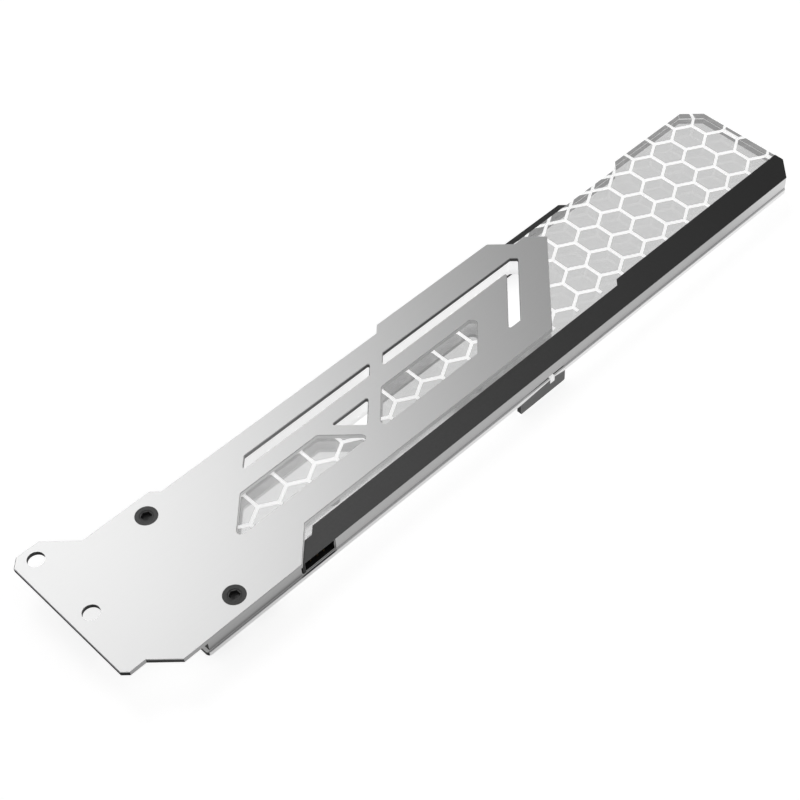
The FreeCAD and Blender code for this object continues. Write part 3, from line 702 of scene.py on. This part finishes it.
# The diodes' windows get a painted glow.
PAINTED_DIODE_GLOW_LEVELS = ((0.05, 0.9), (0.21, 0.9))
painted_diode_glow = painted_glow_surface("diode_window_painted_glow", (0.8, 0.78, 0.6), 0.5, 3000, PAINTED_DIODE_GLOW_LEVELS)
tinned = brushed_metal("tinned_contact", (0.7, 0.7, 0.69), 0.3, 0.25, 0.15, 1500, 1500)
LED_COUNT = 12
LED_PITCH = 0.012
LED_LENGTH = 0.004
LED_WALL = 0.00028
LED_RECESS = 0.0003
LED_FOOT = 0.0007
LED_RIM = 0.00006
led_low, led_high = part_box("leds")
led_middle = (led_low.x + LED_LENGTH / 2, 0, (led_low.z + led_high.z) / 2)
foot_ends = (led_low.x + LED_FOOT, led_low.x + LED_LENGTH - LED_FOOT)
led = block("light_diode", led_low, (led_low.x + LED_LENGTH, led_high.y, led_high.z))
bpy.ops.object.mode_set(mode="EDIT")
pick_faces(led, lambda middle, normal: normal.y > 0.9)
bpy.ops.mesh.inset(thickness=LED_WALL)
bpy.ops.mesh.extrude_region_move(TRANSFORM_OT_translate={"value": (0, -LED_RECESS, 0)})
bpy.ops.transform.resize(value=(0.94, 1, 0.85), center_override=led_middle)
for foot_end in foot_ends:
    pick_faces(led, lambda middle, normal: max(abs(normal.z), -normal.y, abs(normal.x)) > 0.9)
    bpy.ops.mesh.bisect(plane_co=(foot_end, 0, 0), plane_no=(1, 0, 0))
bpy.ops.object.mode_set(mode="OBJECT")
BODY, DIODE_WINDOW, FOOT = range(3)
for finish in (diode_body, painted_diode_glow, tinned):
    led.data.materials.append(finish)
for polygon in led.data.polygons:
    in_recess = polygon.normal.y > 0.9 and polygon.center.y < led_high.y - LED_RECESS + NEAR
    at_foot = not foot_ends[0] < polygon.center.x < foot_ends[1] and polygon.normal.y < -0.9
    polygon.material_index = DIODE_WINDOW if in_recess else FOOT if at_foot else BODY
along_strip = [(LED_PITCH * i, 0, 0) for i in range(1, LED_COUNT)]
finish_pieces(copies(led, along_strip), [], "leds", LED_RIM)

CAPACITOR_LENGTH = 0.0016
CAPACITOR_END = 0.00035
CAPACITOR_RIM = 0.000015
chip_low, chip_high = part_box("led_capacitors")
chip_middle = (0, (chip_low.y + chip_high.y) / 2, (chip_low.z + chip_high.z) / 2)
chip_ends = (chip_low.x + CAPACITOR_END, chip_low.x + CAPACITOR_LENGTH - CAPACITOR_END)
chip = block("capacitor", chip_low, (chip_low.x + CAPACITOR_LENGTH, chip_high.y, chip_high.z))
bpy.ops.object.mode_set(mode="EDIT")
bisect_all(chip_ends, (1, 0, 0))
pick_faces(chip, lambda middle, normal: chip_ends[0] < middle.x < chip_ends[1])
bpy.ops.mesh.extrude_region_move(TRANSFORM_OT_translate={"value": (0, 0, 0)})
bpy.ops.transform.resize(value=(1, 0.9, 0.9), center_override=chip_middle)
bpy.ops.object.mode_set(mode="OBJECT")
chip.data.materials.append(matt_black("tan_ceramic", (0.42, 0.31, 0.2), 0.6, 2500, 0.00004, 0.3))
chip.data.materials.append(tinned)
for polygon in chip.data.polygons:
    polygon.material_index = 0 if chip_ends[0] < polygon.center.x < chip_ends[1] else 1
finish_pieces(copies(chip, along_strip), [], "led_capacitors", CAPACITOR_RIM)

# Socket for the lighting lead
# A housing moulded in black nylon, with a slanted rim and three gold-plated
# contacts. It is let into the lower side wall for the lighting lead's plug.
nylon = matt_black("black_nylon", (0.006, 0.006, 0.006), 0.6, 2200, 0.00005, 0.3)
finish_node("socket_housing", nylon)
socket_mesh = nodes["socket_housing"].data
# The slanted rim gets a painted highlight: mid grey on the black nylon.
socket_mesh.materials.append(blasted("socket_rim_painted_highlight", (0.5, 0.5, 0.5), 0.35, 2600))
for polygon in socket_mesh.polygons:
    on_highlight_rim = -0.9 < polygon.normal.y < -0.3
    polygon.material_index = 1 if on_highlight_rim else 0
gold = brushed_metal("gold_plate", (0.5, 0.37, 0.17), 0.3, 0.2, 0.06, 900, 900)
finish_node("socket_pins", gold)

# Spacer block
# A bar of aluminium, sawn and milled, between the two sheets at the slot end. The
# two black screws go through it and clamp it.
MILLED_GREY = (0.48, 0.48, 0.48)
milled = brushed_metal("milled_aluminium", MILLED_GREY, 0.34, 0.3, 0.14, 60, 3800)
finish_node("spacer_block", milled)
spacer_mesh = nodes["spacer_block"].data
# Its left-facing end gets painted shade, near black.
spacer_mesh.materials.append(blasted("spacer_end_painted_shade", (0.03, 0.03, 0.03), 0.6, 2600))
for polygon in spacer_mesh.polygons:
    polygon.material_index = 1 if polygon.normal.x < -0.5 else 0

# Light guide
# Clear acrylic, 3.5 mm thick, laser-cut, with a honeycomb engraved in its back
# face. The engraving and the sawn lower edge are frosted, all else is polished.
GROOVE_TOP = -0.00335
GUIDE_BACK = -0.00355
GUIDE_RIGHT = 0.2242
# The engraving, the sawn lower edge and the cut openings also get a painted glow along X.
ENGRAVING_LIGHT = ((0.03, 0.5), (0.09, 0.6), (0.13, 0.7), (0.22, 0.72))
SAWN_LIGHT = ((0.05, 0.25), (0.19, 0.25), (0.224, 0.5))
OPENING_LIGHT = ((0.04, 0.5), (0.15, 0.56))
acrylic, tree, shader = empty_finish("clear_acrylic")
shader.inputs["Transmission Weight"].default_value = 1.0
shader.inputs["IOR"].default_value = 1.49
shader.inputs["Roughness"].default_value = 0.0
cloud = grained(tree, 90, 90, 0.02)
toned(tree, cloud.outputs["Tone"], (0.985, 0.985, 0.985), shader)
bumped(tree, cloud.outputs["Height"], 0.00001, 0.02, shader)
finish_node("light_guide", acrylic)
guide_finishes = nodes["light_guide"].data.materials
guide_finishes.append(painted_glow_surface(
    "frosted_engraving_painted_glow", (0.85, 0.85, 0.85), 0.6, 2400, ENGRAVING_LIGHT))
guide_finishes.append(painted_glow_surface("sawn_edge_painted_glow", (0.25, 0.25, 0.25), 0.4, 1500, SAWN_LIGHT))
guide_finishes.append(painted_glow_surface("cut_opening_painted_glow", (0.5, 0.5, 0.5), 0.5, 1500, OPENING_LIGHT))
CLEAR, ENGRAVED, SAWN, OPENING = range(4)
guide_mesh = nodes["light_guide"].data
for polygon in guide_mesh.polygons:
    corners = [guide_mesh.vertices[v].co for v in polygon.vertices]
    high_z = max(c.z for c in corners)
    flat = not is_wall(polygon)
    face_turn = math.degrees(math.atan2(polygon.normal.y, polygon.normal.x)) % 60
    on_hexagon = min(face_turn, 60 - face_turn) < 1 and polygon.center.x < GUIDE_RIGHT - NEAR
    if high_z < GUIDE_BACK + HAIR:
        polygon.material_index = CLEAR
    elif high_z < GROOVE_TOP + HAIR and (on_hexagon or flat):
        polygon.material_index = ENGRAVED
    elif flat:
        polygon.material_index = CLEAR
    elif in_openings(polygon):
        polygon.material_index = OPENING
    else:
        polygon.material_index = SAWN if polygon.normal.y < -0.3 else CLEAR

# Mask
# A matt black adhesive film on the front of the light guide. It is cut to the
# lower edge and hides the light strip behind it.
# Painted shade: the film's black is lighter at the left and darker to the right.
PAINTED_SHADE_MASK_TONES = ((0.05, 0.056), (0.11, 0.036), (0.16, 0.02), (0.21, 0.006))


def painted_shade_along(finish, stops):
    """Paints light and shade into a finish's colour, changing along the bracket."""
    tree = finish.node_tree
    colour = next(node for node in tree.nodes if node.bl_idname == "ShaderNodeMix")
    link(tree, level_along(tree, "X", stops), colour.inputs["A"])
    return finish


mask_black_painted_shade = matt_black("black_film", (1, 1, 1), 0.42, 1200, 0.00003, 0.15)
finish_node("led_mask", painted_shade_along(mask_black_painted_shade, PAINTED_SHADE_MASK_TONES))

# Face plate
# The front sheet: 1.2 mm aluminium, pierced and brushed along its length, with
# a milled chamfer on the upper rim. Two screws and three studs hold it.
FRONT_GREY = (0.51, 0.51, 0.51)
# Painted glow of the back and walls, and painted shade of the cut walls, by place.
BACK_LIGHT = ((0.032, 0.0), (0.034, 0.27), (0.09, 0.27), (0.15, 0.31))
BACK_LIGHT_AT_STRIP = ((0.04, 0.62), (0.095, 0.6), (0.1, 0.27), (0.15, 0.27))
STRIP_SIDE = ((-0.0245, 1.0), (-0.0225, 0.0))
WALL_LIGHT = ((0.04, 0.36), (0.07, 0.32), (0.098, 0.2), (0.15, 0.2))
PAINTED_SHADE_WALL_TONES = (
    (-0.006, 0.045), (0.03, 0.05), (0.045, 0.3), (0.07, 0.14), (0.09, 0.05), (0.15, 0.035))
front_sheet = brushed_metal("silver_front_sheet", FRONT_GREY, 0.36, 0.2, 0.045)
finish_node("face_plate", front_sheet)

# Its back gets a painted glow, as if lit through the light guide, and more so beside the strip.
sheet_back = painted_glow_surface("lit_sheet_back", (0.4, 0.4, 0.4), 0.5, 1500, BACK_LIGHT)
tree = sheet_back.node_tree
glow = tree.nodes["Principled BSDF"].inputs["Emission Color"].links[0].from_node
by_strip = tree.nodes.new("ShaderNodeMix")
by_strip.data_type = "RGBA"
link(tree, level_along(tree, "Y", STRIP_SIDE), by_strip.inputs["Factor"])
link(tree, glow.inputs["A"].links[0].from_socket, by_strip.inputs["A"])
link(tree, level_along(tree, "X", BACK_LIGHT_AT_STRIP), by_strip.inputs["B"])
link(tree, by_strip.outputs["Result"], glow.inputs["A"])
plate_mesh = nodes["face_plate"].data
plate_mesh.materials.append(sheet_back)
# Window walls and the lower edge get a painted glow. Walls of the openings and holes, and
# left-facing edges, get painted shade that changes along X.
plate_mesh.materials.append(painted_glow_surface("lit_sheet_wall", (0.3, 0.3, 0.3), 0.4, 1500, WALL_LIGHT))
painted_shade_wall = blasted("painted_shade_cut_wall", (1, 1, 1), 0.5, 2600)
plate_mesh.materials.append(painted_shade_along(painted_shade_wall, PAINTED_SHADE_WALL_TONES))

LOWER_EDGE_Y = -0.02595
LOWER_EDGE_LEFT = 0.041
SLOT_HOLE_X, SLOT_HOLE_Y = 0.0022, 0.0126
FRONT, BACK, LIT_WALL, PAINTED_SHADE_WALL = range(4)
for polygon in plate_mesh.polygons:
    x, y = polygon.center.x, polygon.center.y
    lower_edge = y < LOWER_EDGE_Y + NEAR and x > LOWER_EDGE_LEFT and polygon.normal.y < -0.3
    slot_hole = abs(x) < SLOT_HOLE_X and abs(y) < SLOT_HOLE_Y
    if polygon.normal.z < -0.9:
        polygon.material_index = BACK
    elif is_wall(polygon) and (in_window(polygon) or lower_edge):
        polygon.material_index = LIT_WALL
    elif is_wall(polygon) and (in_openings(polygon) or slot_hole or polygon.normal.x < -0.5):
        polygon.material_index = PAINTED_SHADE_WALL
    else:
        polygon.material_index = FRONT

# Fixings
# Zinc-plated steel: three studs pressed into the face plate, each with a washer
# and a nut behind the back sheet, and pressed round nuts for the two screws.


def reshape(piece, cutter, operation="DIFFERENCE"):
    """Cuts a piece with another one, or keeps only what both share."""
    alone(piece)
    cut = piece.modifiers.new("cut", "BOOLEAN")
    cut.operation = operation
    cut.object = cutter
    bpy.ops.object.modifier_apply(modifier=cut.name)
    bpy.data.objects.remove(cutter)
    return piece


def thread(bottom, top, pitch, root, crest):
    """Rings of a thread's grooves between two levels."""
    rings = []
    for i in range(round((top - bottom) / pitch)):
        rings += [(bottom + i * pitch, root), (bottom + (i + 0.5) * pitch, crest)]
    return rings + [(top, root)]


STUDS = ((0.060, -0.022), (0.108, -0.022), (0.145125, -0.0075))
first_x, first_y = STUDS[0]
beside_first = [(x - first_x, y - first_y, 0) for x, y in STUDS[1:]]
SHANK_LOW, SHANK_HIGH = -0.0048, -0.0001
STUD_LIGHT = ((0.05, 0.45), (0.15, 0.3))
STUD_THREAD = thread(bottom=-0.0079, top=-0.00475, pitch=0.00045, root=0.00102, crest=0.00124)
STUD_HEAD = [(-0.0047, 0.00125), (0.0, 0.00125), (0.0, 0.0021), (0.0008, 0.0021)]
stud_rings = [(-0.0080, 0.0009)] + STUD_THREAD + STUD_HEAD
stud = turned("plate_stud", first_x, first_y, stud_rings, 32)
stud.data.materials.append(plated_steel("bright_steel", 0.6))
# The shank under the face plate gets a painted glow along X.
stud.data.materials.append(painted_glow_surface("lit_stud_shank", (0.4, 0.4, 0.4), 0.4, 900, STUD_LIGHT))
for polygon in stud.data.polygons:
    on_shank = SHANK_LOW < polygon.center.z < SHANK_HIGH and is_wall(polygon)
    polygon.material_index = 1 if on_shank else 0
finish_pieces(copies(stud, beside_first), [], "plate_studs")

WASHER = ((-0.0055, 0.0029), (-0.00542, 0.003), (-0.00508, 0.003), (-0.0050, 0.0029))
WASHER_HOLE = ((-0.0056, 0.0014), (-0.0049, 0.0014))
WASHER_RIM = 0.00004
washer = turned("stud_washer", first_x, first_y, WASHER)
reshape(washer, turned("washer_hole", first_x, first_y, WASHER_HOLE))
washer_steel = plated_steel("washer_steel", 0.66)
washers = copies(washer, beside_first)
finish_pieces(washers, [washer_steel], "stud_washers", WASHER_RIM)


def hexagon(name, x, y, middle, width, depth):
    """Hexagon by its width across the flats, standing on the bracket's plane."""
    bpy.ops.object.select_all(action="DESELECT")
    bpy.ops.mesh.primitive_cylinder_add(
        vertices=6, radius=width / math.sqrt(3), depth=depth, location=(x, y, middle))
    bpy.ops.object.transform_apply(location=True, rotation=True, scale=True)
    piece = bpy.context.object
    piece.name = name
    return piece


NUT_WIDTH, NUT_HEIGHT, NUT_MIDDLE = 0.005, 0.002, -0.0065
NUT_BARREL = ((-0.0075, 0.00238), (-0.0072, 0.0029), (-0.0058, 0.0029), (-0.0055, 0.00238))
NUT_BORE = ((-0.0077, 0.00176), (-0.00722, 0.00126), (-0.00578, 0.00126), (-0.0053, 0.00176))
nut = hexagon("stud_nut", first_x, first_y, NUT_MIDDLE, NUT_WIDTH, NUT_HEIGHT)
reshape(nut, turned("nut_barrel", first_x, first_y, NUT_BARREL, 48, 0.03), "INTERSECT")
reshape(nut, turned("nut_bore", first_x, first_y, NUT_BORE, 32))
nut_steel = plated_steel("nut_steel", 0.62)
finish_pieces(copies(nut, beside_first), [nut_steel], "stud_nuts")

SCREW_X = 0.0248
SCREW_YS = (0.0018, -0.0293)
to_second = [(0, SCREW_YS[1] - SCREW_YS[0], 0)]
ROUND_NUT = (
    (-0.0077, 0.0028), (-0.0075, 0.0031), (-0.0069, 0.0031), (-0.00682, 0.0030),
    (-0.0067, 0.0030), (-0.00662, 0.0031), (-0.0063, 0.0031), (-0.0062, 0.0030),
    (-0.0062, 0.0021), (-0.0050, 0.0021),
)
round_nut = turned("screw_nut", SCREW_X, SCREW_YS[0], ROUND_NUT, 48)
ROUND_BORE = ((-0.0078, 0.0020), (-0.0073, 0.00151), (-0.0049, 0.00151))
reshape(round_nut, turned("round_bore", SCREW_X, SCREW_YS[0], ROUND_BORE, 40))
pressed_steel = plated_steel("pressed_nut_steel", 0.58)
finish_pieces(copies(round_nut, to_second), [pressed_steel], "screw_nuts")

# Screws
# Two black countersunk hexagon socket screws hold face plate, spacer, back sheet
# and bar together. Two small cross recess screws hold the light guide's far end.
oxide = matt_black("black_oxide", (0.026, 0.026, 0.026), 0.4, 1500, 0.00003, 0.2)
SCREW_THREAD = thread(bottom=-0.0086, top=-0.0036, pitch=0.0005, root=0.00124, crest=0.00149)
SCREW_HEAD = [
    (-0.0035, 0.0015), (-0.00025, 0.0015), (0.0010, 0.00275), (0.00116, 0.00275),
    (0.0012, 0.00269), (0.0012, 0.0017), (0.00108, 0.00152),
]
screw_rings = [(-0.0088, 0.0011)] + SCREW_THREAD + SCREW_HEAD
screw = turned("plate_screw", SCREW_X, SCREW_YS[0], screw_rings, 48)
KEY_WIDTH, KEY_DEPTH, KEY_MIDDLE = 0.0024, 0.0012, 0.0007
KEY_LEDGE, KEY_POINT = 0.00012, 0.0003
key_hole = hexagon("key_hole", SCREW_X, SCREW_YS[0], KEY_MIDDLE, KEY_WIDTH, KEY_DEPTH)
bpy.ops.object.mode_set(mode="EDIT")
pick_faces(key_hole, lambda middle, normal: normal.z < -0.9)
bpy.ops.mesh.inset(thickness=KEY_LEDGE)
bpy.ops.mesh.extrude_region_move(TRANSFORM_OT_translate={"value": (0, 0, -KEY_POINT)})
bpy.ops.transform.resize(value=(0.15, 0.15, 1), center_override=(SCREW_X, SCREW_YS[0], 0))
bpy.ops.object.mode_set(mode="OBJECT")
reshape(screw, key_hole)
finish_pieces(copies(screw, to_second), [oxide], "plate_screws", 0, 28)

GUIDE_SCREW_XS = (0.2077, 0.2147)
GUIDE_SCREW_Y = -0.03055
CROSS_LONG, CROSS_WIDE, CROSS_DEEP, CROSS_PROUD = 0.0011, 0.00025, 0.0008, 0.0002
GUIDE_SCREW_HEAD = [(-0.0050, 0.00178), (-0.00493, 0.00182), (-0.0041, 0.0010)]
GUIDE_SCREW_THREAD = thread(bottom=-0.0035, top=-0.0015, pitch=0.0004, root=0.0008, crest=0.00098)
guide_rings = GUIDE_SCREW_HEAD + GUIDE_SCREW_THREAD + [(-0.00135, 0.0006)]
x, y = GUIDE_SCREW_XS[0], GUIDE_SCREW_Y
guide_screw = turned("guide_screw", x, y, guide_rings, 36)
for across, up in ((CROSS_LONG, CROSS_WIDE), (CROSS_WIDE, CROSS_LONG)):
    arm_low = (x - across, y - up, SHEET_BACK - CROSS_PROUD)
    arm = block("cross_arm", arm_low, (x + across, y + up, SHEET_BACK + CROSS_DEEP))
    bpy.ops.object.mode_set(mode="EDIT")
    pick_faces(arm, lambda middle, normal: normal.z > 0.9)
    bpy.ops.transform.resize(value=(0.5, 0.5, 1), center_override=(x, y, 0))
    bpy.ops.object.mode_set(mode="OBJECT")
    reshape(guide_screw, arm)
small_oxide = matt_black("black_oxide_small", (0.04, 0.04, 0.04), 0.4, 1500, 0.00003, 0.2)
guide_screws = copies(guide_screw, [(GUIDE_SCREW_XS[1] - GUIDE_SCREW_XS[0], 0, 0)])
finish_pieces(guide_screws, [small_oxide], "guide_screws", 0, 28)
